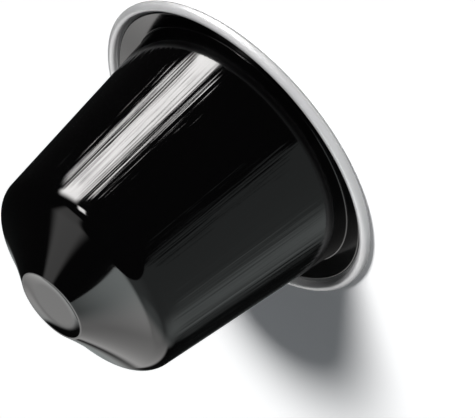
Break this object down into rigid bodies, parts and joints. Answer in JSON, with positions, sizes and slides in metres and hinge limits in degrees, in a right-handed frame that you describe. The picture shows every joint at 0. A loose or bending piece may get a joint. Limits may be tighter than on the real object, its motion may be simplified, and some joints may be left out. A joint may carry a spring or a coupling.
{
  "type": "coffee pod",
  "caption": "Sealed aluminium coffee pod: tapered drawn cup with a rolled rim, dished nose and flat foil lid.",
  "frame": {"origin": "centre of the flat face that the pod stands on, which is the outside of the foil lid", "axes": "+Z along the pod's axis from the lid to the nose; the pod is round, so X and Y are free"},
  "size_m": [0.037, 0.037, 0.028],
  "materials": {
    "black_lacquer": "gloss black lacquer on drawn aluminium, with fine drawing lines along the wall",
    "lid_foil": "bare satin foil",
    "rim_metal": "bare satin sheet on the rolled edge"
  },
  "bodies": {
    "root": {"capsule_body": "black_lacquer", "lid_membrane": "lid_foil"}
  },
  "joints": []
}
